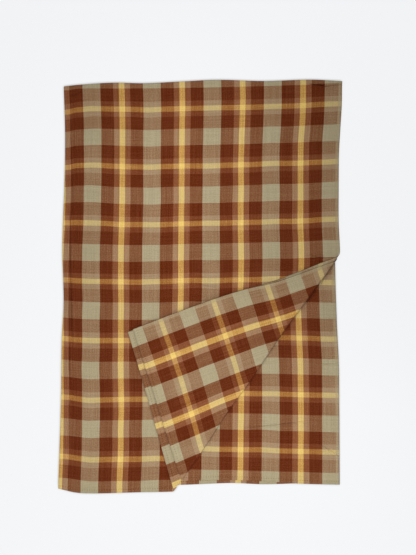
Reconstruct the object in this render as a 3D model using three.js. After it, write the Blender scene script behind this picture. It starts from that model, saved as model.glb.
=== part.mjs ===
// Tablecloth: one rectangle of woven plaid cotton with a selvage down each side and a narrow
// turned hem at each end. It is folded in half lengthwise, then in half crosswise, and lies
// flat in four layers. At one corner the two upper layers are turned back over the top one.
// Millimetres, +Z up, +Y towards the crosswise fold. The underside rests on Z = 0.

import * as THREE from 'three';
import { mergeVertices } from 'three/addons/utils/BufferGeometryUtils.js';

// The cut piece.
const HALF_WIDTH = 697.5;
const SHEET = 1.0;
const HEM_WIDTH = 10;
const HEM_EXTRA = 0.25;
const COLOUR = 0x966f49;

// How its layers lie. PITCH runs from the middle of one layer to the middle of the next.
const PITCH = 1.8;
const TURN_STEPS = 6;
const COLUMNS = 10;
const ROWS = 14;
const NEAR_FOLD = [0, 5, 11, 20];

// The two folded edges stay a little fuller than the layers beside them.
const FULL_LENGTHWISE = 0.7;
const FULL_CROSSWISE = 0.6;
const FULL_REACH = 11;

// The turned-back corner: the outside of its crease runs straight between these two places,
// and the roll of the crease opens towards the selvage.
const CREASE_LOW = new THREE.Vector2(302.5, -992.5);
const CREASE_HIGH = new THREE.Vector2(682.5, -450);
const CREASE_RADIUS = 1.8;
const CREASE_OPEN_RADIUS = 4.2;
const CREASE_OPENS_AT = 470;
const CREASE_STEPS = 8;
const CREASE_SETTLES = 48;
const SETTLE_STEPS = 4;
const CREASE_WAVE_REACH = 60;

// Where the lengthwise fold lies, by the distance from the crosswise fold.
const FOLD_LINE = [
  { along: 0, across: 8 },
  { along: 120, across: 12 },
  { along: 205, across: 11 },
  { along: 280, across: 9 },
  { along: 340, across: 6.5 },
  { along: 430, across: 4.5 },
  { along: 550, across: 7.5 },
  { along: 650, across: 2.5 },
  { along: 800, across: 1.5 },
  { along: 1010, across: -5 },
];

// Where the crosswise fold lies, by the distance from the lengthwise fold.
const CROSS_FOLD_LINE = [
  { across: 0, drop: 15.5 },
  { across: 45, drop: 10.5 },
  { across: 130, drop: 5.5 },
  { across: 205, drop: 7 },
  { across: 300, drop: 2.5 },
  { across: 390, drop: -1.5 },
  { across: 505, drop: 1.5 },
  { across: 620, drop: -2 },
  { across: 700, drop: 1.5 },
];

// The selvage of each layer, by the distance from the crosswise fold.
// The outer half of the width makes the top and bottom layers, the inner half the two between.
const SELVAGES = [
  { along: 0, outerUpper: 700, innerUpper: 697, innerLower: 696, outerLower: 697 },
  { along: 60, outerUpper: 699, innerUpper: 695, innerLower: 693, outerLower: 693 },
  { along: 170, outerUpper: 692.5, innerUpper: 690, innerLower: 688, outerLower: 686 },
  { along: 260, outerUpper: 691.5, innerUpper: 687.5, innerLower: 686, outerLower: 684 },
  { along: 350, outerUpper: 691.5, innerUpper: 687, innerLower: 684, outerLower: 682 },
  { along: 440, outerUpper: 695, innerUpper: 687, innerLower: 682.5, outerLower: 680 },
  { along: 600, outerUpper: 690.5, innerUpper: 686.5, innerLower: 687, outerLower: 683 },
  { along: 700, outerUpper: 695, innerUpper: 697, innerLower: 692, outerLower: 688 },
  { along: 800, outerUpper: 697, innerUpper: 700, innerLower: 693, outerLower: 690 },
  { along: 1000, outerUpper: 695, innerUpper: 697.5, innerLower: 694, outerLower: 690 },
];

// The hemmed end of each layer, by the distance from the lengthwise fold.
const ENDS = [
  { across: 0, outerUpper: 1013, innerUpper: 1013, innerLower: 1004, outerLower: 1004 },
  { across: 45, outerUpper: 1024.5, innerUpper: 1005, innerLower: 1001, outerLower: 1006 },
  { across: 95, outerUpper: 1026, innerUpper: 1001, innerLower: 999, outerLower: 1006 },
  { across: 200, outerUpper: 1022.5, innerUpper: 999, innerLower: 998, outerLower: 1006 },
  { across: 290, outerUpper: 1021, innerUpper: 997, innerLower: 997, outerLower: 1007 },
  { across: 430, outerUpper: 1012, innerUpper: 992, innerLower: 995, outerLower: 1002.5 },
  { across: 510, outerUpper: 1007, innerUpper: 988.5, innerLower: 998, outerLower: 1005.5 },
  { across: 600, outerUpper: 1001, innerUpper: 985, innerLower: 1004, outerLower: 1003.5 },
  { across: 700, outerUpper: 995, innerUpper: 981, innerLower: 1006.5, outerLower: 1003 },
];

// How far the crease lies inside its straight line, by the distance from its low end.
const CREASE_WAVE = [
  { along: 0, inset: 0 },
  { along: 110, inset: 1 },
  { along: 210, inset: 5.5 },
  { along: 290, inset: 2 },
  { along: 440, inset: 6.5 },
  { along: 560, inset: 1.5 },
  { along: 662, inset: 0 },
];

// Places where the layers lie less close to each other.
const SWELLS = [
  { across: 120, along: 210, reach: 110, rise: 0.35 },
  { across: 520, along: 150, reach: 140, rise: 0.3 },
  { across: 330, along: 430, reach: 150, rise: 0.25 },
  { across: 110, along: 700, reach: 130, rise: 0.4 },
  { across: 600, along: 800, reach: 100, rise: 0.5 },
  { across: 640, along: 560, reach: 70, rise: 0.3 },
];

// A smooth curve through one column of a table.
function through(table, key, column, at) {
  const last = table.length - 1;
  let i = 0;
  while (i < last - 1 && at > table[i + 1][key]) i += 1;
  const from = table[i];
  const to = table[i + 1];
  const before = table[Math.max(i - 1, 0)];
  const after = table[Math.min(i + 2, last)];
  const span = to[key] - from[key];
  const t = THREE.MathUtils.clamp((at - from[key]) / span, 0, 1);
  const leave = ((to[column] - before[column]) / (to[key] - before[key])) * span;
  const arrive = ((after[column] - from[column]) / (after[key] - from[key])) * span;
  const rise = to[column] - from[column];
  const bend = leave * (1 - t) * (1 - t) * t - arrive * t * t * (1 - t);
  return from[column] + rise * t * t * (3 - 2 * t) + bend;
}

// One width of the cloth, from the outer half's selvage round the lengthwise fold to the
// inner half's. share runs from 0 at the fold to 1 at the selvage, off is the distance from
// the middle of the doubled cloth, and the face looks towards (faceAcross, faceOff).
function widthwise() {
  const flat = [];
  for (const d of NEAR_FOLD) flat.push(d / HALF_WIDTH);
  const start = flat[flat.length - 1];
  for (let i = 1; i <= COLUMNS; i += 1) flat.push(start + ((1 - start) * i) / COLUMNS);
  const stations = [];
  for (const share of flat.slice().reverse()) {
    stations.push({ half: 'outer', share, turn: 0, off: PITCH / 2, faceAcross: 0, faceOff: 1 });
  }
  for (let i = 1; i < TURN_STEPS; i += 1) {
    const angle = Math.PI / 2 - (Math.PI * i) / TURN_STEPS;
    const faceAcross = -Math.cos(angle);
    const faceOff = Math.sin(angle);
    const half = faceOff >= 0 ? 'outer' : 'inner';
    const turn = (PITCH / 2) * faceAcross;
    stations.push({ half, share: 0, turn, off: (PITCH / 2) * faceOff, faceAcross, faceOff });
  }
  for (const share of flat) {
    stations.push({ half: 'inner', share, turn: 0, off: -PITCH / 2, faceAcross: 0, faceOff: -1 });
  }
  return stations;
}

// One length of the cloth, from the upper hem round the crosswise fold to the lower hem.
// share runs from 0 near the fold to 1 at the hem's stitching.
function lengthwise() {
  const flat = [];
  for (const d of NEAR_FOLD) flat.push({ near: d, share: 0, hem: 0, thick: 0 });
  for (let i = 1; i <= ROWS; i += 1) flat.push({ near: 0, share: i / ROWS, hem: 0, thick: 0 });
  flat.push({ near: 0, share: 1, hem: 0.5, thick: 1 });
  flat.push({ near: 0, share: 1, hem: HEM_WIDTH, thick: 1 });
  const stations = [];
  for (const row of flat.slice().reverse()) stations.push({ ...row, side: 'Upper', turn: null });
  for (let i = 1; i < TURN_STEPS; i += 1) {
    const turn = Math.PI / 2 - (Math.PI * i) / TURN_STEPS;
    const side = turn >= 0 ? 'Upper' : 'Lower';
    stations.push({ near: 0, share: 0, hem: 0, thick: 0, side, turn });
  }
  for (const row of flat) stations.push({ ...row, side: 'Lower', turn: null });
  return stations;
}

// A point of the doubled cloth, before the crosswise fold and the turned-back corner.
function doubledPoint(row, column) {
  const layer = column.half + row.side;
  const end = through(ENDS, 'across', layer, column.share * HALF_WIDTH);
  const first = NEAR_FOLD[NEAR_FOLD.length - 1];
  const span = end - HEM_WIDTH - first;
  const along = row.share > 0 ? first + span * row.share + row.hem : row.near;
  const fold = through(FOLD_LINE, 'along', 'across', along);
  const selvage = through(SELVAGES, 'along', layer, along);
  const across = fold + column.turn + (selvage - fold) * column.share;
  return {
    side: row.side,
    turn: row.turn,
    along,
    across,
    off: column.off,
    faceAcross: column.faceAcross,
    faceOff: column.faceOff,
    thick: row.thick,
  };
}

const creaseWay = CREASE_HIGH.clone().sub(CREASE_LOW).normalize();
const creaseOut = new THREE.Vector2(creaseWay.y, -creaseWay.x);

// How far a place lies along the crease and outside it.
function fromCrease(x, y) {
  const offset = new THREE.Vector2(x, y).sub(CREASE_LOW);
  return { along: offset.dot(creaseWay), out: offset.dot(creaseOut) };
}

function creaseRadius(along) {
  const length = CREASE_HIGH.distanceTo(CREASE_LOW);
  const opened = THREE.MathUtils.clamp((along - CREASE_OPENS_AT) / (length - CREASE_OPENS_AT), 0, 1);
  return CREASE_RADIUS + (CREASE_OPEN_RADIUS - CREASE_RADIUS) * opened;
}

// Where the bend starts, measured out from the crease.
function bendStart(radius) {
  return -(radius + (PITCH + SHEET) / 2);
}

// How far round the crease a point has gone: 0 where the bend starts and pi where it ends.
function bendAngle(point) {
  const at = fromCrease(point.across, -point.along);
  const radius = creaseRadius(at.along);
  return (at.out - bendStart(radius)) / radius;
}

// How far past the end of the bend a point lies.
function pastBend(point) {
  const at = fromCrease(point.across, -point.along);
  const radius = creaseRadius(at.along);
  return at.out - bendStart(radius) - Math.PI * radius;
}

// Turns back what lies outside the crease. above is measured from the middle of the two layers.
function turnBack(x, y, above) {
  const at = fromCrease(x, y);
  const radius = creaseRadius(at.along);
  const start = bendStart(radius);
  const past = at.out - start;
  if (past <= 0) return { x, y, z: above };
  const angle = past / radius;
  let out = start - (past - Math.PI * radius);
  let z = 2 * radius - above;
  if (angle < Math.PI) {
    out = start + (radius - above) * Math.sin(angle);
    z = radius - (radius - above) * Math.cos(angle);
  } else {
    const settled = THREE.MathUtils.smoothstep(start - out, 0, CREASE_SETTLES);
    z -= 2 * (radius - CREASE_RADIUS) * settled;
  }
  const place = CREASE_LOW.clone().addScaledVector(creaseWay, at.along).addScaledVector(creaseOut, out);
  return { x: place.x, y: place.y, z };
}

// How much further apart the layers lie at a place.
function fullness(x, y) {
  const fromFold = x - through(FOLD_LINE, 'along', 'across', -y);
  const fromCross = -y - through(CROSS_FOLD_LINE, 'across', 'drop', x);
  let full = FULL_LENGTHWISE * Math.exp(-((fromFold / FULL_REACH) ** 2));
  full += FULL_CROSSWISE * Math.exp(-((fromCross / FULL_REACH) ** 2));
  for (const swell of SWELLS) {
    const away = Math.hypot(x - swell.across, -y - swell.along);
    full += swell.rise * Math.exp(-((away / swell.reach) ** 2));
  }
  return full;
}

// Opens the gaps between the layers and leaves each layer as thick as it is.
function loosen(x, y, z) {
  const layer = Math.floor(z / PITCH);
  const gap = THREE.MathUtils.clamp((z - layer * PITCH - SHEET) / (PITCH - SHEET), 0, 1);
  return z + fullness(x, y) * (layer + gap);
}

// Folds one point of the doubled cloth. face is its distance from the middle of the sheet,
// towards the right side.
function folded(point, face) {
  const off = point.off + face * point.faceOff;
  let x = point.across + face * point.faceAcross;
  let y = -point.along;
  const middle = SHEET / 2 + 1.5 * PITCH;
  let z = 0;
  if (point.turn !== null) {
    y = (PITCH + off) * Math.cos(point.turn);
    z = middle + (PITCH + off) * Math.sin(point.turn);
  } else if (point.side === 'Lower') {
    z = middle - PITCH - off;
  } else {
    const turned = turnBack(x, y, off);
    const at = fromCrease(turned.x, turned.y);
    const near = Math.exp(-((at.out / CREASE_WAVE_REACH) ** 2));
    const inset = through(CREASE_WAVE, 'along', 'inset', at.along) * near;
    x = turned.x - inset * creaseOut.x;
    y = turned.y - inset * creaseOut.y;
    z = middle + PITCH + turned.z;
  }
  z = loosen(x, y, z);
  const drop = through(CROSS_FOLD_LINE, 'across', 'drop', x);
  y -= drop * (1 - THREE.MathUtils.smoothstep(-y, 0, 260));
  return new THREE.Vector3(x, y, z);
}

function between(a, b, t) {
  const mixed = { ...a };
  for (const key of ['along', 'across', 'off', 'thick']) mixed[key] = a[key] + (b[key] - a[key]) * t;
  return mixed;
}

// Cuts each cell of the upper layers where a measure passes a value.
function cutCells(cells, measure, value, nearly) {
  const made = [];
  for (const cell of cells) {
    const flat = cell.every((p) => p.side === 'Upper' && p.turn === null && p.along > 300);
    const over = cell.map((p) => {
      const difference = flat ? measure(p) - value : -1;
      return Math.abs(difference) < nearly ? 0 : difference;
    });
    if (Math.max(...over) <= 0 || Math.min(...over) >= 0) {
      made.push(cell);
      continue;
    }
    const inside = [];
    const outside = [];
    cell.forEach((p, i) => {
      const j = (i + 1) % cell.length;
      if (over[i] <= 0) inside.push(p);
      if (over[i] >= 0) outside.push(p);
      if (over[i] * over[j] < 0) {
        // Both cells beside an edge measure it from its inside end, so that they agree.
        const [near, far] = over[i] < 0 ? [i, j] : [j, i];
        const cut = between(cell[near], cell[far], over[near] / (over[near] - over[far]));
        inside.push(cut);
        outside.push(cut);
      }
    });
    made.push(inside, outside);
  }
  return made;
}

function clothCells() {
  const rows = lengthwise();
  const columns = widthwise();
  const grid = rows.map((row) => columns.map((column) => doubledPoint(row, column)));
  let cells = [];
  for (let j = 0; j + 1 < rows.length; j += 1) {
    for (let i = 0; i + 1 < columns.length; i += 1) {
      cells.push([grid[j][i], grid[j][i + 1], grid[j + 1][i + 1], grid[j + 1][i]]);
    }
  }
  for (let i = 0; i <= CREASE_STEPS; i += 1) {
    cells = cutCells(cells, bendAngle, (Math.PI * i) / CREASE_STEPS, 0.03);
  }
  for (let i = 1; i <= SETTLE_STEPS; i += 1) {
    cells = cutCells(cells, pastBend, (CREASE_SETTLES * i) / SETTLE_STEPS, 0.2);
  }
  return cells;
}

// The closed sheet: its right side, its wrong side, and the edge that joins them all round.
function clothGeometry() {
  const points = [];
  const edges = new Map();
  const key = (p) => p.map((n) => n.toFixed(3)).join(' ');
  for (const cell of clothCells()) {
    const right = cell.map((p) => folded(p, SHEET / 2).toArray());
    const wrong = cell.map((p) => folded(p, -SHEET / 2 - HEM_EXTRA * p.thick).toArray());
    for (let i = 1; i + 1 < cell.length; i += 1) {
      points.push(...right[0], ...right[i + 1], ...right[i]);
      points.push(...wrong[0], ...wrong[i], ...wrong[i + 1]);
    }
    cell.forEach((_, i) => {
      const j = (i + 1) % cell.length;
      const back = key(right[j]) + key(right[i]);
      if (edges.has(back)) edges.delete(back);
      else edges.set(key(right[i]) + key(right[j]), [right[i], right[j], wrong[j], wrong[i]]);
    });
  }
  for (const [a, b, c, d] of edges.values()) {
    points.push(...a, ...b, ...c);
    points.push(...a, ...c, ...d);
  }
  const loose = new THREE.BufferGeometry();
  loose.setAttribute('position', new THREE.Float32BufferAttribute(points, 3));
  return mergeVertices(loose, 1e-3);
}

const geometry = clothGeometry();
geometry.computeBoundingBox();
const box = geometry.boundingBox;
geometry.translate(-(box.min.x + box.max.x) / 2, -(box.min.y + box.max.y) / 2, -box.min.z);
geometry.computeVertexNormals();

const material = new THREE.MeshStandardMaterial({ color: COLOUR, roughness: 0.92, metalness: 0 });
const cloth = new THREE.Mesh(geometry, material);
cloth.name = 'tablecloth';

const tablecloth = new THREE.Group();
tablecloth.name = 'folded_tablecloth';
tablecloth.add(cloth);

export default tablecloth;
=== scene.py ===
# %% [markdown]
# # A folded plaid tablecloth
# The real thing is one rectangle of yarn-dyed cotton, 1.395 m wide and 2.02 m long. The loom
# made the edges down its sides, and each end is turned under once and stitched. It has been
# folded in half lengthwise, then in half crosswise, and laid down flat in four layers. One
# corner of the two upper layers is turned back over the top one.
# The folds have to lie just where they lie on this one. A cloth simulation would have to be
# steered there, and none was tried. Instead the cut is made flat, and each fold is one plain rule
# that moves its points.
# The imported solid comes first, because it says where the cloth lies and how large it is.

# %% Load the frame
import math
from collections import namedtuple

import bmesh
import bpy
import numpy as np
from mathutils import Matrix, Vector, noise


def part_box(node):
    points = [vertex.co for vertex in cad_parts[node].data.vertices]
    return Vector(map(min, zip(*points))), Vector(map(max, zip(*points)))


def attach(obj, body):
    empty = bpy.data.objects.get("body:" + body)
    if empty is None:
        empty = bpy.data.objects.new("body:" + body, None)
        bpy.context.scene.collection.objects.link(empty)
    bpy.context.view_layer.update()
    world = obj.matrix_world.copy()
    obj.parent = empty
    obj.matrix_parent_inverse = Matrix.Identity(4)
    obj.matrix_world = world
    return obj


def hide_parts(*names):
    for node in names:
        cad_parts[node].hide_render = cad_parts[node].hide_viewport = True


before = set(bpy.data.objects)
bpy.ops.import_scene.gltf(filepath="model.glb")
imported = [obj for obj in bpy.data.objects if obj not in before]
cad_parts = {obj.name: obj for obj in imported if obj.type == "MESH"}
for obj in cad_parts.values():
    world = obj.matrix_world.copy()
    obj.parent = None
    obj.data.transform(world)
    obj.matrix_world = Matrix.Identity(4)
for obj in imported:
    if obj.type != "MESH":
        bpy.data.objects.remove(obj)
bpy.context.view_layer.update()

cad_low, cad_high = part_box("tablecloth")
print("folded size in mm:", [round(n * 1000, 1) for n in cad_high - cad_low])

# %% [markdown]
# ## Sizes
# Everything is worked out in millimetres, in a frame that suits someone folding the cloth:
# "across" runs from the lengthwise fold to the selvages, and "along" from the crosswise fold to
# the hems. The cotton is half a millimetre thick. Folded cloth never lies pressed tight, so the
# layers are 1.8 mm apart from middle to middle. The cut is a little longer than the cloth, by
# what is turned under at each hem, and the folds' half turns take their share of its length.

# %% Sizes
HALF_WIDTH = 697.5
HALF_LENGTH = 1010.0
THICK = 0.5
PITCH = 1.8
HEM = 9.5
HEM_RADIUS = 0.28
HEM_BEND = math.pi * HEM_RADIUS
CUT_HALF_LENGTH = HALF_LENGTH + HEM_BEND + HEM
FOLD_HALF = math.pi * PITCH / 4
CROSS_HALF = math.pi * PITCH / 2

# %% [markdown]
# ## How unevenly it lies
# No fold is quite straight and no two edges lie quite on each other. Short tables say how far
# off they are, with one row for each place that differs. The outer half of the width makes the
# top and bottom layers, and the inner half the two between.

# %% Tables of edges and folds
FoldLine = namedtuple("FoldLine", "along across")
FOLD_LINE = [
    FoldLine(0, 6.8), FoldLine(120, 10), FoldLine(205, 9.5), FoldLine(280, 7.5), FoldLine(340, 5),
    FoldLine(430, 2.9), FoldLine(475, 4.4), FoldLine(550, 6.3), FoldLine(650, 1.4),
    FoldLine(800, -0.5), FoldLine(1010, -7.2),
]
CrossFold = namedtuple("CrossFold", "across drop")
CROSS_FOLD_LINE = [
    CrossFold(0, 15.5), CrossFold(45, 10.5), CrossFold(130, 5.5), CrossFold(205, 7), CrossFold(300, 2.5),
    CrossFold(390, -1.5), CrossFold(505, 1.5), CrossFold(620, -2), CrossFold(700, 1.5),
]
Selvage = namedtuple("Selvage", "along outer_upper inner_upper inner_lower outer_lower")
SELVAGES = [
    Selvage(0, 700, 697, 696, 697),
    Selvage(60, 699, 695, 693, 693),
    Selvage(170, 692.5, 690, 688, 686),
    Selvage(260, 691.5, 687.5, 686, 684),
    Selvage(350, 691.5, 687, 684, 682),
    Selvage(440, 695, 687, 682.5, 680),
    Selvage(600, 690.5, 686.5, 687, 683),
    Selvage(700, 695, 697, 692, 688),
    Selvage(800, 697, 700, 693, 690),
    Selvage(1000, 695, 697.5, 694, 690),
]
End = namedtuple("End", "across outer_upper inner_upper inner_lower outer_lower")
ENDS = [
    End(0, 1016, 1013, 1004, 1004),
    End(45, 1026.3, 1005, 1001, 1006),
    End(95, 1028, 1001, 999, 1006),
    End(200, 1025, 999, 998, 1006),
    End(290, 1023, 997, 997, 1007.5),
    End(430, 1013, 992, 995, 1002.5),
    End(510, 1007, 988.5, 998, 1005.5),
    End(600, 1001, 985, 1004, 1003.5),
    End(700, 995, 981, 1006.5, 1003.5),
]


def through(table, column, at):
    """A smooth curve through one column of a table, by the table's first column."""
    keys = np.array([row[0] for row in table], float)
    values = np.array([getattr(row, column) for row in table], float)
    i = np.clip(np.searchsorted(keys, at) - 1, 0, len(keys) - 2)
    before, after = np.maximum(i - 1, 0), np.minimum(i + 2, len(keys) - 1)
    span = keys[i + 1] - keys[i]
    t = np.clip((at - keys[i]) / span, 0, 1)
    leave = (values[i + 1] - values[before]) / (keys[i + 1] - keys[before]) * span
    arrive = (values[after] - values[i]) / (keys[after] - keys[i]) * span
    rise = values[i + 1] - values[i]
    return values[i] + rise * t * t * (3 - 2 * t) + leave * (1 - t) ** 2 * t - arrive * t * t * (1 - t)


def by_layer(table, at, outer, upper):
    """The same for a table with a column for each of the four layers."""
    layers = {
        "outer_upper": outer & upper, "inner_upper": ~outer & upper,
        "inner_lower": ~outer & ~upper, "outer_lower": outer & ~upper,
    }
    return np.select(list(layers.values()), [through(table, name, at) for name in layers])


print("the selvages stand up to", max(r.outer_upper - r.outer_lower for r in SELVAGES), "mm apart")

# %% [markdown]
# ## The flat cut
# The cloth starts as a flat grid of small squares, as it lay on the cutting table. A fold is a
# bend of a millimetre or two, far tighter than a square, so the grid gets extra lines where it
# will bend. bisect_plane draws such a line right across the mesh, and keeps the faces whole. A
# point that lies on the line already, to within the merge distance, is used as it is.

# %% Cut the cloth
COLUMNS = 144
ROWS = 206
NEAR = (5, 11, 20)
BEND_STEPS = 3
STRAIGHT_MERGE = 0.02

cloth = bmesh.new()
bmesh.ops.create_grid(cloth, x_segments=COLUMNS, y_segments=ROWS, size=1)
bmesh.ops.scale(cloth, vec=(HALF_WIDTH, CUT_HALF_LENGTH, 1), verts=cloth.verts)


def draw_line(faces, point, normal, merge=STRAIGHT_MERGE):
    """Cuts these faces where a plane crosses them, except at points that lie on it already."""
    edges = {e for f in faces for e in f.edges}
    corners = {v for f in faces for v in f.verts}
    geom = [*faces, *edges, *corners]
    bmesh.ops.bisect_plane(cloth, geom=geom, dist=merge, plane_co=point, plane_no=normal)


def steps(half):
    """The lines of one half of a bend, from its middle outwards."""
    return [half * i / BEND_STEPS for i in range(BEND_STEPS + 1)]


for at in [*steps(FOLD_HALF), *NEAR]:
    for side in (-1, 1):
        draw_line(cloth.faces, (side * at, 0, 0), (1, 0, 0))
hem_lines = [HALF_LENGTH - HEM, *(HALF_LENGTH + n for n in steps(HEM_BEND))]
for at in [*steps(CROSS_HALF), *NEAR, *hem_lines]:
    for side in (-1, 1):
        draw_line(cloth.faces, (0, side * at, 0), (0, 1, 0))
print("flat cut:", len(cloth.faces), "faces")

# %% [markdown]
# ## Laying the four quarters
# Each quarter of the cut becomes one layer. Its points are spread between the fold and the
# selvage, and between the crosswise fold and the hem, as the tables say. The place of each
# point on the cut is kept in two layers of numbers, because the folds and the weave need it.

# %% Keep each point's place on the cut
cut_x = cloth.verts.layers.float.new("cut_x")
cut_y = cloth.verts.layers.float.new("cut_y")
for v in cloth.verts:
    v[cut_x], v[cut_y] = v.co.x, v.co.y


def cut_places():
    """Where each point lies on the cut, and which half of the width and length it belongs to."""
    x = np.array([v[cut_x] for v in cloth.verts])
    y = np.array([v[cut_y] for v in cloth.verts])
    return x, y, x >= 0, y >= 0


print("places kept for", len(cloth.verts), "points")

# %% Lay the quarters
CROSS_DROP_REACH = 260


def quarter_places():
    """How far across and along each point lies, and how far past the hem's edge it has gone."""
    x, y, outer, upper = cut_places()
    share = np.maximum(np.abs(x) - FOLD_HALF, 0) / (HALF_WIDTH - FOLD_HALF)
    end = by_layer(ENDS, share * HALF_WIDTH, outer, upper) - HEM_RADIUS
    flat = np.clip(np.abs(y) - CROSS_HALF, 0, HALF_LENGTH - CROSS_HALF)
    along = flat * end / (HALF_LENGTH - CROSS_HALF)
    past_hem = np.maximum(np.abs(y) - HALF_LENGTH, 0)
    hem_angle = np.minimum(past_hem / HEM_RADIUS, math.pi)
    along += HEM_RADIUS * np.sin(hem_angle) - np.maximum(past_hem - HEM_BEND, 0)
    fold = through(FOLD_LINE, "across", along)
    across = fold + share * (by_layer(SELVAGES, along, outer, upper) - fold)
    return across, along, hem_angle


def smooth(value, low, high):
    """A soft step from 0 at low to 1 at high."""
    t = np.clip((value - low) / (high - low), 0, 1)
    return t * t * (3 - 2 * t)


def cross_drop(across, along):
    """How far the crosswise fold's unevenness moves each place."""
    return through(CROSS_FOLD_LINE, "drop", across) * (1 - smooth(along, 0, CROSS_DROP_REACH))


across, along, hem_angle = quarter_places()
for v, a, b in zip(cloth.verts, across, along):
    v.co = (math.copysign(a, v[cut_x]), math.copysign(b, v[cut_y]), 0)
print("laid:", round(float(across.max()), 1), "mm across and", round(float(along.max()), 1), "mm along")

# %% [markdown]
# ## Lines for the turned-back corner
# The crease runs aslant over the two upper layers, so it gets lines of its own. The cloth is
# still open, so the inner layer's crease is the mirror image of the outer one's. Lines drawn
# aslant pass close by many of the grid's points. Taking in those within about a tenth of a
# millimetre keeps slivers out of the mesh, which would shade as small dark marks.

# %% Draw the crease's lines
CREASE_LOW = Vector((302.5, -992.5))
CREASE_HIGH = Vector((682.5, -450))
CREASE_WAY = (CREASE_HIGH - CREASE_LOW).normalized()
CREASE_OUT = Vector((CREASE_WAY.y, -CREASE_WAY.x))
CREASE_LENGTH = (CREASE_HIGH - CREASE_LOW).length
CREASE_RADIUS = 2.2
CREASE_OPEN_RADIUS = 4.2
CREASE_OPENS_AT = 470
CREASE_LINES = np.arange(-5.6, 8.1, 0.85)
CREASE_FROM_ACROSS = 200
CREASE_FROM_ALONG = 300
ASLANT_MERGE = 0.12

for side in (-1, 1):
    for out in CREASE_LINES:
        point = CREASE_LOW + CREASE_OUT * out
        faces = [f for f in cloth.faces if f.calc_center_median().x * side > CREASE_FROM_ACROSS]
        faces = [f for f in faces if f.calc_center_median().y > CREASE_FROM_ALONG]
        out_way = (CREASE_OUT.x * side, -CREASE_OUT.y, 0)
        draw_line(faces, (point.x * side, -point.y, 0), out_way, merge=ASLANT_MERGE)
many_sided = [f for f in cloth.faces if len(f.verts) > 4]
bmesh.ops.triangulate(cloth, faces=many_sided)
print("with the crease's lines:", len(cloth.faces), "faces")

# %% [markdown]
# ## Lines for the rucks
# The cloth has a few short soft creases: troughs beside the lengthwise fold, and pulls towards an
# edge. Sculpting would shape them freely, but a row of a table is easier to check and to change.
# Each row gives a ruck's place, its heading in degrees, its half length, its width and its rise,
# and the lowest of the four layers that it moves. The last four are only wide gentle swells. The
# others are narrower than the grid's squares, so each gets lines along it, cut only into the
# faces near by. Where the crosswise fold sags, a ruck's place on the laid cloth lies that much
# nearer the fold.

# %% Table of rucks
Ruck = namedtuple("Ruck", "across along heading half_length width rise level")
RUCKS = [
    Ruck(35, 32, 19, 18, 2.8, -1.4, 3), Ruck(642, 9, -9, 24, 1.8, -0.9, 2),
    Ruck(642, 9, -9, 24, 1.8, -1.4, 3), Ruck(682, 9.5, 7, 20, 1.8, -1.4, 3),
    Ruck(639, 437, -9, 24, 2.5, -1.2, 3), Ruck(375, 512, -7, 15, 2.1, -1.2, 3),
    Ruck(23, 555, 91, 80, 5.8, -0.9, 1), Ruck(23, 555, 91, 80, 5.8, -1.1, 2),
    Ruck(20.5, 555, 91, 85, 4.2, -1.2, 3),
    Ruck(18.5, 700, 90, 42, 3.8, -0.9, 2), Ruck(18.5, 700, 90, 42, 3.8, -1.2, 3),
    Ruck(20, 400, 91, 75, 3.4, -0.9, 2), Ruck(20, 400, 91, 75, 3.4, -1.2, 3),
    Ruck(23, 185, 92, 130, 3.2, -1.2, 3), Ruck(15, 972, 90, 26, 2.4, -1.0, 3),
    Ruck(15.5, 850, 89, 80, 3.0, -1.1, 3),
    Ruck(534, 857, 6.6, 88, 2.1, -1.3, 1), Ruck(668, 705, 4, 20, 1.8, -1.1, 1),
    Ruck(667, 920, -33, 34, 2.4, -1.2, 1), Ruck(520, 700, 12, 60, 2.4, -0.45, 1),
    Ruck(60, 330, 84, 60, 9, 0.6, 3), Ruck(430, 120, 80, 90, 14, 0.5, 3),
    Ruck(250, 640, 95, 110, 16, 0.5, 3), Ruck(560, 330, 100, 80, 14, 0.6, 3),
]
print(len(RUCKS), "rucks")

# %% Draw the rucks' lines
RUCK_LINES = (-2.7, -2.1, -1.6, -1.2, -0.9, -0.6, -0.3, 0, 0.3, 0.6, 0.9, 1.2, 1.6, 2.1, 2.7)
NARROW = 6
CUT_WIDTHS = 6
CUT_HALF_LENGTHS = 1.4
CUT_PAST_ENDS = 8
LEVEL_SIGNS = {3: (1, 1), 2: (-1, 1), 1: (-1, -1), 0: (1, -1)}

for ruck in RUCKS:
    if ruck.width > NARROW:
        continue
    sign_x, sign_y = LEVEL_SIGNS[ruck.level]
    laid_along = ruck.along - float(cross_drop(ruck.across, ruck.along))
    heading = math.radians(ruck.heading)
    way = Vector((math.cos(heading) * sign_x, -math.sin(heading) * sign_y, 0))
    square = Vector((-way.y, way.x, 0))
    middle = Vector((ruck.across * sign_x, laid_along * sign_y, 0))
    reach = CUT_HALF_LENGTHS * ruck.half_length + CUT_PAST_ENDS
    for line in RUCK_LINES:
        near = []
        for face in cloth.faces:
            offset = face.calc_center_median() - middle
            if abs(offset.dot(way)) < reach and abs(offset.dot(square)) < CUT_WIDTHS * ruck.width:
                near.append(face)
        draw_line(near, middle + square * line * ruck.width, square, merge=ASLANT_MERGE)
many_sided = [f for f in cloth.faces if len(f.verts) > 4]
bmesh.ops.triangulate(cloth, faces=many_sided)
print("with the rucks' lines:", len(cloth.faces), "faces")

# %% [markdown]
# ## Where the weave runs
# The stripes are woven in, so they follow the threads and not the edges. Weft threads bow and
# lean a little on every cloth, and this one was not folded quite on a stripe. The stripes could
# be drawn straight from each point's place, but then they would all be ruled lines. So short
# tables say how far the threads have shifted at a few places, and a UV map will hold how far
# along the warp and weft each point lies, in metres. Beside the lengthwise fold the cloth dips
# into a trough, which draws the warp in a little. All of it is in millimetres here.

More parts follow.
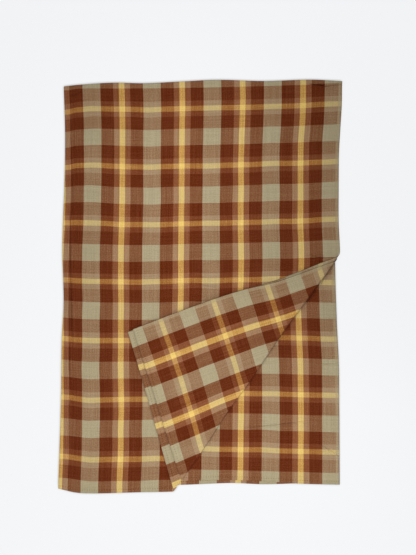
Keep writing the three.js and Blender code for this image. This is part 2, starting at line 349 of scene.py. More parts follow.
# %% Tables of the warp
WarpAtFold = namedtuple("WarpAtFold", "along upper lower")
WARP_AT_FOLD = [
    WarpAtFold(0, 6.5, 6.5), WarpAtFold(70, 6, 5), WarpAtFold(145, 5.6, 4), WarpAtFold(210, 4.4, 3),
    WarpAtFold(350, 1.4, 2), WarpAtFold(500, 5.4, 0), WarpAtFold(570, 5, 0), WarpAtFold(640, 1.1, 0),
    WarpAtFold(715, 1.3, 2), WarpAtFold(790, 0, 4), WarpAtFold(940, -3, 2), WarpAtFold(1000, -2.2, 1),
]
WarpSlip = namedtuple("WarpSlip", "across anywhere outer_upper inner_upper inner_lower outer_lower")
WARP_SLIP = [
    WarpSlip(0, 0, 0, 0, 0, 0), WarpSlip(200, 0, 0, 0, 0, 0), WarpSlip(350, 0.3, 2.7, 0, 0, -1.5),
    WarpSlip(450, 0.4, 4.3, 0, 0, -1.5), WarpSlip(600, 0.7, 4.9, 0, 0, -2),
    WarpSlip(645, 1.8, 1.8, 0, 0, -2), WarpSlip(697, 0, 2, 0, 0, -2),
]
DrawnIn = namedtuple("DrawnIn", "along by")
DRAWN_IN = [
    DrawnIn(0, 0.6), DrawnIn(60, 0.8), DrawnIn(170, 1.8), DrawnIn(300, 0.9), DrawnIn(420, 1.2),
    DrawnIn(510, 2.4), DrawnIn(600, 2.4), DrawnIn(690, 1.7), DrawnIn(740, 0.2), DrawnIn(900, -0.4),
]
print("the trough draws the warp in by up to", max(row.by for row in DRAWN_IN), "mm")

# %% Tables of the weft
WeftBow = namedtuple("WeftBow", "along upper lower")
WEFT_BOW = [
    WeftBow(0, 5.5, 0), WeftBow(63, 6, -1), WeftBow(150, 5.2, -3), WeftBow(207, 6, -4),
    WeftBow(350, 6.5, -8), WeftBow(495, 5, -11), WeftBow(640, 9, -14.5), WeftBow(790, 12.5, -17.5),
    WeftBow(940, 18.5, -21.5), WeftBow(970, 19.5, -20), WeftBow(1025, 22, -23),
]
WeftLean = namedtuple("WeftLean", "across outer_upper inner_upper inner_lower outer_lower")
WEFT_LEAN = [
    WeftLean(0, 0, 0, 0, 0), WeftLean(150, 0, -7, 0, 3), WeftLean(300, -1.5, -17, 1.5, 10),
    WeftLean(450, -4.5, -27, 4, 13), WeftLean(600, -9, -34, 8, 17), WeftLean(650, -12, -35, 9.5, 17.5),
    WeftLean(700, -14, -36, 10.5, 18),
]
WeftCurl = namedtuple("WeftCurl", "along at_fold at_20 at_35 at_70 at_150 at_220")
CURL_PLACES = (0, 20, 35, 70, 150, 220, 300)
WEFT_CURL = [
    WeftCurl(0, 5.5, 4, 1, 0, 0, 0), WeftCurl(63, 10, 7.2, 2.8, -0.8, 0, 1.2),
    WeftCurl(207, 3.7, 1.4, -2.5, -3, -0.5, 2.6), WeftCurl(350, -3, -4.3, -5.5, -4.5, 0.6, 1.8),
    WeftCurl(440, -1.8, -1.7, -1.3, -0.2, 1.9, 2.4), WeftCurl(500, -3.7, -2.7, -1.1, 0.3, 1.2, 1.8),
    WeftCurl(640, -5.4, -3.4, -1.4, 0.2, 0, 0.9), WeftCurl(715, -4.6, -3, -0.8, 1.8, 0.3, 1.4),
    WeftCurl(790, -6.2, -4.8, -2.2, 3, 0, 0), WeftCurl(865, -5.9, -4.8, -3.2, -0.4, -0.8, -1.4),
    WeftCurl(940, -7.5, -5.5, -2.8, 1.5, 0, -0.6), WeftCurl(1000, -6.5, -4.5, -1.6, 2.6, 1, 1.2),
]
LeanGrows = namedtuple("LeanGrows", "along outer_upper inner_upper inner_lower outer_lower")
LEAN_GROWS = [
    LeanGrows(0, 1, 0, 0, 0), LeanGrows(200, 1, 0, 0.2, 0.2), LeanGrows(350, 0.97, 0.02, 0.6, 0.3),
    LeanGrows(440, 0.75, 0.04, 0.75, 0.4), LeanGrows(500, 0.8, 0.13, 0.8, 0.5),
    LeanGrows(640, 1, 0.47, 0.8, 0.6), LeanGrows(770, 1, 0.65, 0.85, 0.8),
    LeanGrows(910, 1, 0.93, 1.1, 1), LeanGrows(1020, 1, 1.15, 1, 1),
]
print("the weft bows by up to", max(row.upper for row in WEFT_BOW), "mm on top")

# %% Run the warp
DRAWN_IN_AT = 19
DRAWN_IN_REACH = 10
SLIPS_FROM = 900
SLIPS_TO = 985

x, y, outer, upper = cut_places()
across, along, hem_angle = quarter_places()
at_fold = np.where(upper, through(WARP_AT_FOLD, "upper", along), through(WARP_AT_FOLD, "lower", along))
warp = at_fold + x * (HALF_WIDTH - np.where(outer, at_fold, -at_fold)) / HALF_WIDTH
slip = by_layer(WARP_SLIP, across, outer, upper) * smooth(along, SLIPS_FROM, SLIPS_TO)
slip += through(WARP_SLIP, "anywhere", across)
drawn_in = through(DRAWN_IN, "by", along) * np.exp(-(((across - DRAWN_IN_AT) / DRAWN_IN_REACH) ** 2))
warp += np.sign(x) * (drawn_in * upper - slip)
print("the warp runs out to", round(float(warp.max()), 1), "mm from the yellow stripe at the fold")

# %% Run the weft
RUN_BACK_REACH = 600

bow = np.where(upper, through(WEFT_BOW, "upper", along), through(WEFT_BOW, "lower", along))
lean = by_layer(WEFT_LEAN, across, outer, upper) * by_layer(LEAN_GROWS, along, outer, upper)


def curl(across, along):
    """How far the weft bends beside the lengthwise fold."""
    bends = [through(WEFT_CURL, name, along) for name in WeftCurl._fields[1:]] + [0 * along]
    total = bends[0]
    for i in range(len(CURL_PLACES) - 1):
        way = (across - CURL_PLACES[i]) / (CURL_PLACES[i + 1] - CURL_PLACES[i])
        total = total + (bends[i + 1] - bends[i]) * np.clip(way, 0, 1)
    return total


lean += curl(across, along)
lean_at_cross = np.where(outer, through(WEFT_LEAN, "outer_upper", across) * LEAN_GROWS[0].outer_upper, 0)
lean_at_cross += curl(across, 0 * along)
at_cross = cross_drop(across, 0) - WEFT_BOW[0].upper - lean_at_cross
past_hem = np.maximum(np.abs(y) - HALF_LENGTH, 0)
run = along + past_hem + np.maximum(past_hem - HEM_BEND, 0) - bow - lean
run += np.minimum(np.abs(y) - CROSS_HALF, 0)
run_back = at_cross * (1 - smooth(along, 0, RUN_BACK_REACH)) - run - 2 * CROSS_HALF
weft = np.where(upper, run + cross_drop(across, along), run_back)
print("the weft leans by up to", round(float(np.abs(bow + lean).max()), 1), "mm")

# %% [markdown]
# ## Threads that waver
# No thread is ruled straight. Each stripe wanders by about a millimetre, and least where it
# crosses a yellow stripe, so that the crossings stay where the tables put them. The plaid's two
# half repeats are needed here for the first time. The noise is Blender's own and always the same
# for the same place, and each layer reads it somewhere else, so that no two layers match.

# %% Let the threads waver
HALF_REPEAT_ACROSS = 75.0
HALF_REPEAT_ALONG = 71.75
FIRST_WEFT_YELLOW = 63.0
WEFT_WAVERS = 1.5
WARP_WAVERS = 0.8
WAVER_SHORT = 60
WAVER_MIDDLING = 70
WAVER_LONG = 160
WAVERS_FROM = 60
WAVER_GAIN = 1.6
SIDE_STEP = 40
END_STEP = 90
WEFT_PLACE = 5
WARP_PLACE = 9


def wander(scale_across, scale_along, place):
    """Seeded noise from about -1 to 1 over the laid cloth, for threads that waver."""
    side = np.sign(x) * SIDE_STEP + np.sign(y) * END_STEP + place
    spots = zip(across / scale_across, along / scale_along, side)
    return WAVER_GAIN * np.array([noise.noise(Vector(spot)) for spot in spots])


off_warp_yellow = np.abs(np.sin(math.pi * warp / (2 * HALF_REPEAT_ACROSS)))
off_weft_yellow = np.abs(np.sin(math.pi * (along - FIRST_WEFT_YELLOW) / (2 * HALF_REPEAT_ALONG)))
off_cross = smooth(along, 0, WAVERS_FROM)
off_folds = smooth(np.minimum(across, along), 0, WAVERS_FROM)
weft += WEFT_WAVERS * wander(WAVER_MIDDLING, WAVER_LONG, WEFT_PLACE) * off_warp_yellow * off_cross
warp += WARP_WAVERS * wander(WAVER_LONG, WAVER_SHORT, WARP_PLACE) * off_weft_yellow * off_folds
print("a repeat is", 2 * HALF_REPEAT_ACROSS, "by", 2 * HALF_REPEAT_ALONG, "mm")

# %% [markdown]
# ## The folds
# Each fold is a half turn round a line. The lengthwise fold turns the inner half under, so the
# right side of the cloth is outside. The crosswise fold then turns both layers together, so the
# outer layer goes round it in a wider bend than the inner one.

# %% Fold it in four
MIDDLE = THICK / 2 + 1.5 * PITCH
half_pitch = PITCH / 2
turn = np.clip(x / half_pitch, -math.pi / 2, math.pi / 2)
off = half_pitch * np.sin(turn)
across = across - half_pitch * np.cos(turn)
off -= np.sign(off) * HEM_RADIUS * (1 - np.cos(hem_angle))
cross_turn = np.clip(y / PITCH, -math.pi / 2, math.pi / 2)
plan_y = np.where(np.abs(y) < CROSS_HALF, (PITCH + off) * np.cos(cross_turn), -along)
height = MIDDLE + (PITCH + off) * np.sin(cross_turn)
plan_x = across
print("four layers:", round(float(height.min()), 2), "to", round(float(height.max()), 2), "mm high")

# %% [markdown]
# ## The turned-back corner
# Outside the crease the two upper layers go half way round a cone: tight where the crease
# meets the hems, and more open towards the selvage, where nothing presses on it. The open end is
# a flattened bend, wider than it is high. Past the bend they lie upside down on the top layer.

# %% Turn the corner back
CREASE_SETTLES = 48
CREASE_FLATTENS = 0.45
CREASE_WAVE_REACH = 60
LAID_BACK_REACH = 30
CreaseWave = namedtuple("CreaseWave", "along inset")
CREASE_WAVE = [
    CreaseWave(0, 0), CreaseWave(110, 1), CreaseWave(210, 4.6), CreaseWave(290, 2.4),
    CreaseWave(440, 5.2), CreaseWave(560, 2.4), CreaseWave(662, 0),
]


def from_crease(x, y):
    """How far each place lies along the crease, and outside it."""
    dx, dy = x - CREASE_LOW.x, y - CREASE_LOW.y
    return dx * CREASE_WAY.x + dy * CREASE_WAY.y, dx * CREASE_OUT.x + dy * CREASE_OUT.y


on_crease, out = from_crease(plan_x, plan_y)
opened = np.clip((on_crease - CREASE_OPENS_AT) / (CREASE_LENGTH - CREASE_OPENS_AT), 0, 1)
radius = CREASE_RADIUS + (CREASE_OPEN_RADIUS - CREASE_RADIUS) * opened
rise = CREASE_RADIUS + CREASE_FLATTENS * (radius - CREASE_RADIUS)
start = -(radius + (PITCH + THICK) / 2)
past = np.maximum(out - start, 0)
angle = np.minimum(past / radius, math.pi)
turned_out = start + (radius - off) * np.sin(angle) - np.maximum(past - math.pi * radius, 0)
turned_height = rise - (rise - off) * np.cos(angle)
turned_height -= 2 * (rise - PITCH) * smooth(start - turned_out, 0, CREASE_SETTLES) * (angle >= math.pi)
may_turn = upper & (np.abs(y) > CREASE_FROM_ALONG)
turns = may_turn & (past > 0)
new_out = np.where(turns, turned_out, out)
height = np.where(turns, MIDDLE + PITCH + turned_height, height)
inset = through(CREASE_WAVE, "inset", on_crease) * np.exp(-((new_out / CREASE_WAVE_REACH) ** 2))
new_out = np.where(may_turn, new_out - inset, new_out)
plan_x = plan_x + (new_out - out) * CREASE_OUT.x
plan_y = plan_y + (new_out - out) * CREASE_OUT.y
laid_back = smooth(past - math.pi * radius, 0, LAID_BACK_REACH) * turns
print("turned back:", round(float(turns.mean() * 100), 1), "% of the points")

# %% [markdown]
# ## Loose layers
# The layers part a little where they please, and stay fuller beside the folds. Each place has a
# few gaps between its layers, and opening one lifts all that lies above it. A point's level
# says how many gaps are under it, so no layer can pass through another.

# %% Loosen the layers
FULL_LENGTHWISE = 0.7
FULL_CROSSWISE = 0.6
FULL_REACH = 11
PRESSED = 0.5
PRESSED_REACH = 17
PRESSED_FROM = -30
PRESSED_FADES = (CREASE_OPENS_AT - 60, CREASE_LENGTH - 40)
ENDS_PRESSED = 0.5
ENDS_PRESSED_FROM = 965
UNEVEN_SCALE = 0.011
UNEVEN_RISE = 0.22
Swell = namedtuple("Swell", "across along reach rise")
SWELLS = [
    Swell(120, 210, 110, 0.35), Swell(520, 150, 140, 0.3), Swell(330, 430, 150, 0.25),
    Swell(110, 700, 130, 0.4), Swell(600, 800, 100, 0.5), Swell(640, 560, 70, 0.3),
]

level = np.clip((height - THICK / 2) / PITCH, 0, None)
from_fold = plan_x - through(FOLD_LINE, "across", -plan_y)
from_cross = -plan_y - through(CROSS_FOLD_LINE, "drop", plan_x)
full = FULL_LENGTHWISE * np.exp(-((from_fold / FULL_REACH) ** 2))
full += FULL_CROSSWISE * np.exp(-((from_cross / FULL_REACH) ** 2))
for swell in SWELLS:
    away = np.hypot(plan_x - swell.across, -plan_y - swell.along)
    full += swell.rise * np.exp(-((away / swell.reach) ** 2))
on_crease, out = from_crease(plan_x, plan_y)
opened = smooth(on_crease, *PRESSED_FADES)
full -= PRESSED * np.exp(-((out / PRESSED_REACH) ** 2)) * (1 - opened) * (on_crease > PRESSED_FROM)
full -= ENDS_PRESSED * smooth(-plan_y, ENDS_PRESSED_FROM, HALF_LENGTH - HEM)
places = [Vector((a * UNEVEN_SCALE, b * UNEVEN_SCALE, 0)) for a, b in zip(plan_x, plan_y)]
full += UNEVEN_RISE * np.array([noise.noise(place) for place in places])
height = height + full * level
print("loosened to", round(float(height.max()), 2), "mm high")

# %% [markdown]
# ## Free edges of the turned corner
# Nothing holds the edges of the turned corner down, so they lift a little and part from each
# other. The row of stitches draws the hem shorter than the cloth beside it, which puckers it.

# %% Lift the free edges
EDGE_LIFT = 2.4
EDGE_PARTS = 1.6
EDGE_REACH = 10
HEM_EDGE_SHARE = 0.6
PUCKER_LONG = 9
PUCKER_WIDE = 40
PUCKER_REACH = 9
PUCKER_PAST_HEM = 2
PUCKER_RISE = 1.5
PUCKER_PLACE = 7
HEM_FOLD = HALF_LENGTH + HEM_BEND / 2

from_selvage = HALF_WIDTH - np.abs(x)
from_end = np.abs(HEM_FOLD - np.abs(y))
selvage_free = np.exp(-((from_selvage / EDGE_REACH) ** 2))
hem_free = HEM_EDGE_SHARE * np.exp(-((from_end / EDGE_REACH) ** 2))
on_top, on_flap = np.clip(level - 3, 0, 1), np.clip(level - 4, 0, 1)
height += laid_back * np.maximum(selvage_free, hem_free) * (EDGE_LIFT * on_top + EDGE_PARTS * on_flap)
spots = zip(x / PUCKER_LONG, from_end / PUCKER_WIDE)
puckers = np.array([noise.noise(Vector((a, b, PUCKER_PLACE))) for a, b in spots])
puckers *= np.exp(-(((from_end - HEM - PUCKER_PAST_HEM) / PUCKER_REACH) ** 2))
height += PUCKER_RISE * laid_back * puckers * on_top
plan_y = plan_y - cross_drop(plan_x, -plan_y)
print("the free edges reach", round(float(height.max()), 2), "mm high")

# %% [markdown]
# ## Small rucks
# Now the table of rucks moves the points. Cloth pushed out of a trough stands up a little on
# both sides of it, so a ruck's profile is a dip with two low shoulders. A ruck moves only the
# layers from its own level up, by no more than about the gap under them.

# %% Ruck the layers
SHOULDERS = 3
SHOULDERS_FADE = 0.9

for ruck in RUCKS:
    heading = math.radians(ruck.heading)
    dx, dy = plan_x - ruck.across, plan_y + ruck.along
    lengthwise = dx * math.cos(heading) + dy * math.sin(heading)
    sideways = dy * math.cos(heading) - dx * math.sin(heading)
    widths = (sideways / ruck.width) ** 2
    fade = np.exp(-SHOULDERS_FADE * widths - (lengthwise / ruck.half_length) ** 4)
    bump = ruck.rise * (1 - SHOULDERS * widths) * fade
    height += bump * np.clip(level - ruck.level + 1, 0, 1)
print("rucked:", round(float(height.max()), 2), "mm high at most")

# %% [markdown]
# ## The piece
# The points take their folded places, in metres and centred where the solid is. Two maps are
# written to the corners of the faces: one says where in the weave a point lies, for the plaid,
# and one where on the cut, for the selvages and the stitching. A Solidify modifier then gives
# the sheet its half millimetre, half to each side. Modelling both faces by hand would double the
# work for the same shape. The cut edges are kept sharp, as cloth this thin has square ones.

# %% Place the points and write the maps
centre = (cad_low + cad_high) / 2
plan_centre = ((plan_x.min() + plan_x.max()) / 2, (plan_y.min() + plan_y.max()) / 2)
for v, a, b, c in zip(cloth.verts, plan_x - plan_centre[0], plan_y - plan_centre[1], height):
    v.co = (centre.x + a / 1000, centre.y + b / 1000, cad_low.z + c / 1000)
weave_map = cloth.loops.layers.uv.new("weave")
cut_map = cloth.loops.layers.uv.new("cut")
cloth.verts.index_update()
for face in cloth.faces:
    for corner in face.loops:
        i = corner.vert.index
        corner[weave_map].uv = (warp[i] / 1000, weft[i] / 1000)
        corner[cut_map].uv = (x[i] / 1000, y[i] / 1000)
    face.smooth = True
for edge in cloth.edges:
    edge.smooth = not edge.is_boundary
print("two maps on", len(cloth.faces), "faces")

# %% Make the piece
mesh = bpy.data.meshes.new("folded_tablecloth")
cloth.to_mesh(mesh)
cloth.free()
tablecloth = bpy.data.objects.new("folded_tablecloth", mesh)
bpy.context.scene.collection.objects.link(tablecloth)
thickness = tablecloth.modifiers.new("cotton thickness", "SOLIDIFY")
thickness.thickness = THICK / 1000
thickness.offset = 0
print("one piece of", len(mesh.polygons), "faces")

# %% [markdown]
# ## Yarn-dyed cotton, plain woven
# The plaid has five colours of yarn, which were dyed before they were woven. Where a stripe of
# warp crosses a stripe of weft the eye sees a mix of the two, because each thread shows half of
# the time. The warp lies a little prouder, so it counts for more. Some yarns are plumper and
# cover more of what they cross, which is the second number beside each colour. A painted image
# of the plaid would be simpler, but nodes stay sharp close by and need no file. The stripes
# mirror about the middle of each broad band, which is what a PINGPONG does to a distance. The
# colours, covers and the warp's share began as another program's fit to the photo's mixes.

# %% Yarns
Yarn = namedtuple("Yarn", "colour cover")
YELLOW = Yarn("#eecb73", 1.21)
BROWN = Yarn("#672c11", 0.95)
SAGE = Yarn("#b0a383", 0.93)
TAN = Yarn("#9c6a4b", 0.82)
BORDER = Yarn("#946245", 0.86)
print("cotton yarns:", [yarn.colour for yarn in (YELLOW, BROWN, SAGE, TAN, BORDER)])

# %% A colour helper and a node helper
def linear(colour):
    """An sRGB hex colour as linear red, green, blue and alpha."""
    parts = [int(colour[i:i + 2], 16) / 255 for i in (1, 3, 5)]
    return (*(c / 12.92 if c <= 0.04045 else ((c + 0.055) / 1.055) ** 2.4 for c in parts), 1.0)


def add(tree, kind, settings=None, **links):
    """Adds a node with its settings, and sets or links its inputs by name or number."""
    made = tree.nodes.new("ShaderNode" + kind)
    for name, value in (settings or {}).items():
        setattr(made, name, value)
    for name, value in links.items():
        key = int(name[2:]) if name.startswith("in") else name.replace("_", " ")
        socket = made.inputs[key]
        if isinstance(value, bpy.types.NodeSocket):
            tree.links.new(value, socket)
        else:
            socket.default_value = value
    return made


cotton = bpy.data.materials.new("woven_cotton")
cotton.use_nodes = True
tree = cotton.node_tree
tree.nodes.clear()
in_weave = add(tree, "UVMap", {"uv_map": "weave"}).outputs["UV"]
weave_place = add(tree, "SeparateXYZ", Vector=in_weave)
print("brown in linear light:", [round(n, 3) for n in linear(BROWN.colour)[:3]])

# %% Stripes
Stripe = namedtuple("Stripe", "to yarn")
WARP_STRIPES = [Stripe(7, YELLOW), Stripe(20.75, TAN), Stripe(53, BROWN), Stripe(75, SAGE)]
WEFT_STRIPES = [Stripe(6.4, YELLOW), Stripe(19.1, BORDER), Stripe(50.9, BROWN), Stripe(71.75, SAGE)]
WARP_SHARE = 0.633


def stripes(place, half_repeat, rows, share):
    """The yarn's colour by its distance from a yellow stripe's middle, and how much of it shows."""
    turns_at = half_repeat / 1000
    distance = add(tree, "Math", {"operation": "PINGPONG"}, in0=place, in1=turns_at)
    part = add(tree, "Math", {"operation": "DIVIDE"}, in0=distance.outputs[0], in1=turns_at)
    ramp = add(tree, "ValToRGB", Fac=part.outputs[0])
    ramp.color_ramp.interpolation = "CONSTANT"
    begins = 0.0
    for i, row in enumerate(rows):
        stop = ramp.color_ramp.elements[i] if i < 2 else ramp.color_ramp.elements.new(begins)
        stop.position = begins
        stop.color = (*linear(row.yarn.colour)[:3], row.yarn.cover * share)
        begins = row.to / half_repeat
    return ramp.outputs["Color"], ramp.outputs["Alpha"]


across_weave, along_weave = weave_place.outputs["X"], weave_place.outputs["Y"]
row_start = FIRST_WEFT_YELLOW / 1000
from_row = add(tree, "Math", {"operation": "SUBTRACT"}, in0=along_weave, in1=row_start).outputs[0]
warp_colour, warp_shows = stripes(across_weave, HALF_REPEAT_ACROSS, WARP_STRIPES, WARP_SHARE)
weft_colour, weft_shows = stripes(from_row, HALF_REPEAT_ALONG, WEFT_STRIPES, 1 - WARP_SHARE)
both_show = add(tree, "Math", {"operation": "ADD"}, in0=warp_shows, in1=weft_shows)
warp_part = add(tree, "Math", {"operation": "DIVIDE"}, in0=warp_shows, in1=both_show.outputs[0])
print("stripes:", len(WARP_STRIPES), "in the warp's half repeat and", len(WEFT_STRIPES), "in the weft's")

# %% [markdown]
# ## Selvages and stitches
# The loom packs the warp threads closer in the last 9 mm of each side, so more of the warp shows
# there. The outermost 1.2 mm is drawn darker: partly the weft turning back round the outermost
# thread, and partly painted shade along the cloth's edge. The hems are held by a row of machine
# stitches near the inner edge, and each stitch pulls the cloth into a small dimple. Modelled
# thread would be thinner than anything else here, so each dimple's shade is painted as a darker
# mark on the map of the cut. Real ones are taken as 3 mm long, and every second is drawn.

# %% Selvages
SELVAGE = 9.0
SELVAGE_DENSER = 0.2
EDGE_LINE_WIDE = 1.2
EDGE_TURN_AND_PAINTED_SHADE = -0.14

on_cut = add(tree, "UVMap", {"uv_map": "cut"}).outputs["UV"]
cut_place = add(tree, "SeparateXYZ", Vector=on_cut)
from_middle = add(tree, "Math", {"operation": "ABSOLUTE"}, in0=cut_place.outputs["X"]).outputs[0]
selvage_from = (HALF_WIDTH - SELVAGE) / 1000
in_selvage = add(tree, "Math", {"operation": "GREATER_THAN"}, in0=from_middle, in1=selvage_from)
denser = add(
    tree, "Math", {"operation": "MULTIPLY_ADD"},
    in0=in_selvage.outputs[0], in1=SELVAGE_DENSER, in2=warp_part.outputs[0],
)
# The outermost strip is drawn darker: the weft's turn, and painted shade along the edge.
edge_line_from = (HALF_WIDTH - EDGE_LINE_WIDE) / 1000
on_edge_line = add(tree, "Math", {"operation": "GREATER_THAN"}, in0=from_middle, in1=edge_line_from)
turn_and_painted_edge_shade = add(tree, "Math", {"operation": "MULTIPLY"}, in0=on_edge_line.outputs[0], in1=EDGE_TURN_AND_PAINTED_SHADE)
print("selvages", SELVAGE, "mm wide")

# %% Stitches
STITCH_ROW = 8.3
STITCH = 6.0
DIMPLE_WIDE = 1.1
DIMPLE_LONG = 2.4
DIMPLE_PAINTED_SHADE = -0.09

from_mid_length = add(tree, "Math", {"operation": "ABSOLUTE"}, in0=cut_place.outputs["Y"]).outputs[0]
hem_fold = HEM_FOLD / 1000
past_fold = add(tree, "Math", {"operation": "SUBTRACT"}, in0=from_mid_length, in1=hem_fold).outputs[0]
to_fold = add(tree, "Math", {"operation": "ABSOLUTE"}, in0=past_fold).outputs[0]
on_row = add(
    tree, "Math", {"operation": "COMPARE"},
    in0=to_fold, in1=STITCH_ROW / 1000, in2=DIMPLE_WIDE / 1000,
)
along_row = add(
    tree, "Math", {"operation": "PINGPONG"}, in0=cut_place.outputs["X"], in1=STITCH / 2000,
)
on_stitch = add(
    tree, "Math", {"operation": "LESS_THAN"}, in0=along_row.outputs[0], in1=DIMPLE_LONG / 2000,
)
# Each dimple is painted shade: a darker mark where a stitch falls on the row.
dimple_shade_mask = add(
    tree, "Math", {"operation": "MULTIPLY"}, in0=on_row.outputs[0], in1=on_stitch.outputs[0],
)
painted_edge_and_dimple_shade = add(
    tree, "Math", {"operation": "MULTIPLY_ADD"},
    in0=dimple_shade_mask.outputs[0], in1=DIMPLE_PAINTED_SHADE, in2=turn_and_painted_edge_shade.outputs[0],
)
print("stitches drawn every", STITCH, "mm")

# %% [markdown]
# ## Uneven yarn
# Cotton yarn is thick and thin by turns. A thick stretch shows more of itself and less of the
# threads that cross it, and catches more light. On the cloth it is a short streak as wide as
# one thread, about 0.5 mm. Here the streaks are drawn 3 mm wide, as if several threads lay
# together, because single ones would be too fine to show. A noise texture stretched along the
# thread draws them, and two of its three channels serve as two noises: one for how much of the
# yarn shows, and one for how much light it catches.

# %% Slubs
Slub = namedtuple("Slub", "wide long place share light")
SLUBS = [
    Slub(2.8, 150, 11, 0.21, 0.08), Slub(95, 2.8, 23, -0.12, 0.055), Slub(2.5, 2.5, 37, 0.33, 0.12),
]
SLUB_MEAN = (0.5, 0.5, 0.5)

# The painted shade of the edge line and of the dimples rides along with the slubs' tone.
warp_share = denser.outputs[0]
shade_and_slub_tone = painted_edge_and_dimple_shade.outputs[0]
for slub in SLUBS:
    scale = (1000 / slub.wide, 1000 / slub.long, 1)
    shift = (slub.place, slub.place, 0)
    place = add(tree, "Mapping", Vector=in_weave, Location=shift, Scale=scale).outputs[0]
    uneven = add(tree, "TexNoise", {"noise_dimensions": "2D"}, Vector=place, Scale=1, Detail=1)
    noises = uneven.outputs["Color"]
    centred = add(tree, "VectorMath", {"operation": "SUBTRACT"}, in0=noises, in1=SLUB_MEAN)
    swings = add(tree, "SeparateXYZ", Vector=centred.outputs[0])
    shown = add(
        tree, "Math", {"operation": "MULTIPLY_ADD"},
        in0=swings.outputs[0], in1=slub.share, in2=warp_share,
    )
    lit = add(
        tree, "Math", {"operation": "MULTIPLY_ADD"},
        in0=swings.outputs[1], in1=slub.light, in2=shade_and_slub_tone,
    )
    warp_share, shade_and_slub_tone = shown.outputs[0], lit.outputs[0]
print("slubs of", [(slub.wide, slub.long) for slub in SLUBS], "mm")

# %% [markdown]
# ## Where two colours meet
# Where threads of two colours cross, the cloth looks a little warmer than a plain mix of the two.
# Light that bounces between the threads might do it, but that is a guess. The mix is warmed by
# how far the two colours are apart, by an amount matched to the photo. They are mixed as the eye
# sees them, which is what the two Gamma nodes are for.

# %% Mix the two colours
SEEN_GAMMA = 2.2
MIX_WARMTH = (0.024, -0.002, -0.01)

seen = [add(tree, "Gamma", Color=c, Gamma=1 / SEEN_GAMMA).outputs[0] for c in (warp_colour, weft_colour)]
mixed = add(tree, "Mix", {"data_type": "RGBA"}, in0=warp_share, in6=seen[1], in7=seen[0])
differ = add(tree, "VectorMath", {"operation": "DISTANCE"}, in0=seen[0], in1=seen[1]).outputs["Value"]
warmer = add(tree, "VectorMath", {"operation": "SCALE"}, in0=MIX_WARMTH, Scale=differ)
warm_mix = add(tree, "VectorMath", {"operation": "ADD"}, in0=mixed.outputs[2], in1=warmer.outputs[0])
# The slubs' tone and the painted shade of the edges and dimples are added to the mix here.
yarn_tone_and_painted_shade = add(tree, "VectorMath", {"operation": "ADD"}, in0=warm_mix.outputs[0], in1=shade_and_slub_tone)
plaid = add(tree, "Gamma", Color=yarn_tone_and_painted_shade.outputs[0], Gamma=SEEN_GAMMA)
print("mixes warmed by up to", MIX_WARMTH[0])

# %% [markdown]
# ## The threads' relief
# In plain weave each thread goes over one and under the next, so the surface is a checkerboard of
# tiny humps. The real threads can't be counted, and are taken to be about 0.5 mm apart. They are
# drawn 1.3 mm apart, still too fine to see from above, but seen close by. So small a relief is
# left to a Bump node, which needs no more faces. Cotton has no gloss and a very faint sheen.

# %% Finish the cotton
THREAD = 1.3
RELIEF = 0.12
RELIEF_STRENGTH = 0.5

humps = []
for way in (across_weave, along_weave):
    turned = add(tree, "Math", {"operation": "MULTIPLY"}, in0=way, in1=1000 * math.pi / THREAD)
    humps.append(add(tree, "Math", {"operation": "SINE"}, in0=turned.outputs[0]).outputs[0])
over_under = add(tree, "Math", {"operation": "MULTIPLY"}, in0=humps[0], in1=humps[1])
relief = add(
    tree, "Bump", Height=over_under.outputs[0], Strength=RELIEF_STRENGTH, Distance=RELIEF / 1000,
)
shader = add(
    tree, "BsdfPrincipled", Base_Color=plaid.outputs[0], Roughness=0.9, IOR=1.45,
    Sheen_Weight=0.03, Sheen_Roughness=0.5, Specular_IOR_Level=0.1, Normal=relief.outputs[0],
)
add(tree, "OutputMaterial", Surface=shader.outputs[0])
mesh.materials.append(cotton)
print("cotton:", len(tree.nodes), "nodes")

# %% [markdown]
# ## Floor
# The cloth lies on plain pale matt paper, which scatters light evenly and shows no grain. More
# light would make it white, but would wash out the cloth too. So most of what the camera sees of
# the paper is an even glow, and it keeps part of the cloth's shadow and a thin grey shade where
# the edges shut out the light. From here on all sizes are in metres.

# %% Floor
FLOOR_HALF = 6
FLOOR_GAP = 0.0002

stage_mesh = bpy.data.meshes.new("floor")
stage = bmesh.new()
bmesh.ops.create_grid(stage, x_segments=1, y_segments=1, size=FLOOR_HALF)
bmesh.ops.translate(stage, vec=(0, 0, cad_low.z - FLOOR_GAP), verts=stage.verts)
stage.to_mesh(stage_mesh)
stage.free()
floor = bpy.data.objects.new("floor", stage_mesh)
bpy.context.scene.collection.objects.link(floor)
print("floor", 2 * FLOOR_HALF, "m wide")

# %% Paper
PAPER = linear("#f7f8fa")
SHADE_REACH = 0.0065
PAPER_GLOW_SHARE = 0.9

paper = bpy.data.materials.new("matt_paper")
paper.use_nodes = True
sheet = paper.node_tree
sheet.nodes.clear()
lit_paper = add(sheet, "BsdfDiffuse", Color=PAPER)
near_cloth = add(sheet, "AmbientOcclusion", Color=PAPER, Distance=SHADE_REACH)
glow = add(sheet, "Emission", Color=near_cloth.outputs["Color"], Strength=1.0)
seen_by_camera = add(sheet, "LightPath").outputs["Is Camera Ray"]
share = add(sheet, "Math", {"operation": "MULTIPLY"}, in0=seen_by_camera, in1=PAPER_GLOW_SHARE)
both = add(sheet, "MixShader", in0=share.outputs[0], in1=lit_paper.outputs[0], in2=glow.outputs[0])
add(sheet, "OutputMaterial", Surface=both.outputs[0])
stage_mesh.materials.append(paper)
print("paper:", [round(n, 2) for n in PAPER[:3]])

# %% [markdown]
# ## Light
# Four soft lamps light the cloth: a long one past the crosswise fold, two square ones past the
# hems, and a narrow one over the middle. An even light comes from all round. Hard lamps would
# draw each ruck more sharply. Soft ones show the plaid evenly, and leave a shadow only beside
# the folds and under the open crease. The lamps' numbers are not a hand's choice: a separate
# program fitted them to the photo's brightness. They were rounded, and their powers changed, after.

# %% Room light
ROOM_LIGHT = 0.3

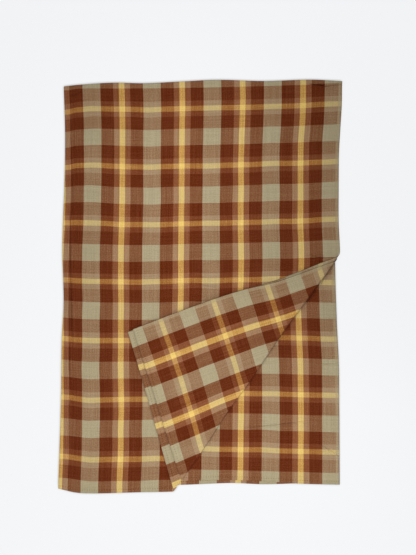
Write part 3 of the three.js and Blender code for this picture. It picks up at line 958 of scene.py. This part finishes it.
world = bpy.data.worlds.new("studio")
bpy.context.scene.world = world
world.use_nodes = True
sky = world.node_tree
sky.nodes.clear()
ray = add(sky, "LightPath").outputs
room = add(sky, "Background", Color=linear("#ffffff"), Strength=ROOM_LIGHT)
seen_room = add(sky, "Background", Color=PAPER, Strength=1.0)
seen_or_mirrored = add(
    sky, "Math", {"operation": "MAXIMUM"}, in0=ray["Is Camera Ray"], in1=ray["Is Glossy Ray"],
)
either = add(
    sky, "MixShader",
    in0=seen_or_mirrored.outputs[0], in1=room.outputs[0], in2=seen_room.outputs[0],
)
add(sky, "OutputWorld", Surface=either.outputs[0])
print("room light:", ROOM_LIGHT)

# %% Lamps
Softbox = namedtuple("Softbox", "name place size tilt power")
SOFTBOXES = [
    Softbox("head_softbox", (0.12, 1.2, 1.3), (1.2, 0.3), (38, 6.5), 9.4),
    Softbox("foot_softbox", (0.06, -0.66, 0.7), (1.2, 1.2), (-36, 24), 3.2),
    Softbox("middle_softbox", (-0.04, 0.01, 0.7), (0.25, 1.2), (-36, 0.5), 3.5),
    Softbox("low_softbox", (-0.46, -1.2, 1.03), (1.2, 1.2), (38.5, -3), 2.3),
]
for row in SOFTBOXES:
    light = bpy.data.lights.new(row.name, "AREA")
    light.shape = "RECTANGLE"
    light.size, light.size_y = row.size
    light.energy = row.power
    lamp = bpy.data.objects.new(row.name, light)
    lamp.location = row.place
    lamp.rotation_euler = (math.radians(row.tilt[0]), math.radians(row.tilt[1]), 0)
    lamp.visible_camera = False
    bpy.context.scene.collection.objects.link(lamp)
print(len(SOFTBOXES), "lamps of", round(sum(row.power for row in SOFTBOXES), 1), "W together")

# %% [markdown]
# ## Camera
# The camera looks straight down from three metres. Its focal length is worked out from the
# height of the view on the floor, and it stands a little off the cloth's centre.

# %% Camera
VIEW_HEIGHT = 1.3875
CAMERA_HEIGHT = 3.0
CAMERA_PLACE = (0.0194, 0.0226, CAMERA_HEIGHT)

lens = bpy.data.cameras.new("camera")
lens.lens = lens.sensor_width * CAMERA_HEIGHT / VIEW_HEIGHT
camera = bpy.data.objects.new("camera", lens)
camera.location = CAMERA_PLACE
bpy.context.scene.collection.objects.link(camera)
bpy.context.scene.camera = camera
bpy.context.scene.view_settings.view_transform = "Standard"
print("focal length:", round(lens.lens, 1), "mm")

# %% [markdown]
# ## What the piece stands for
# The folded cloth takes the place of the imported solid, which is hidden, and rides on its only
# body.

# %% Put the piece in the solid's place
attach(tablecloth, "root")
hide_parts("tablecloth")
